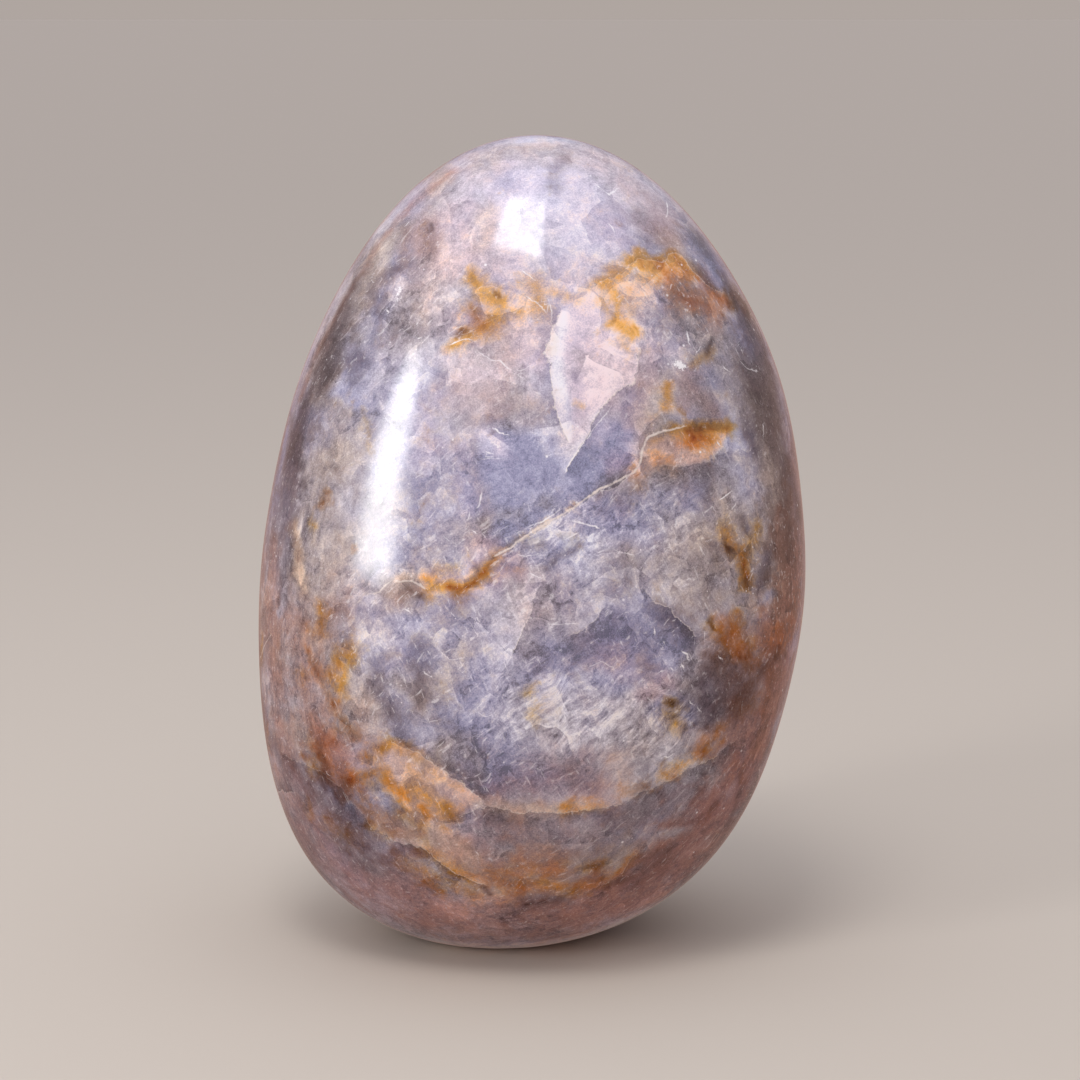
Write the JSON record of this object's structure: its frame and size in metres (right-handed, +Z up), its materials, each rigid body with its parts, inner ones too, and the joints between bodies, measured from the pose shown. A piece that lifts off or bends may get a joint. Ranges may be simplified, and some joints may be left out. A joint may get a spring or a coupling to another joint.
{
  "type": "polished blue rose quartz stone",
  "caption": "Egg-like polished free-form of blue rose quartz that stands, narrow end up, on a small ground flat spot.",
  "frame": {"origin": "on the surface that the stone stands on, under the middle of its box; the point lies on the ground flat spot", "axes": "+Z up, along the stone's length, towards its narrow end; -Y out of the front, the broad face; +X to the right of the front; Y is the thickness"},
  "size_m": [0.0642, 0.052, 0.094],
  "materials": {
    "polished_quartz": "polished"
  },
  "bodies": {
    "root": {"stone": "polished_quartz"}
  },
  "joints": []
}
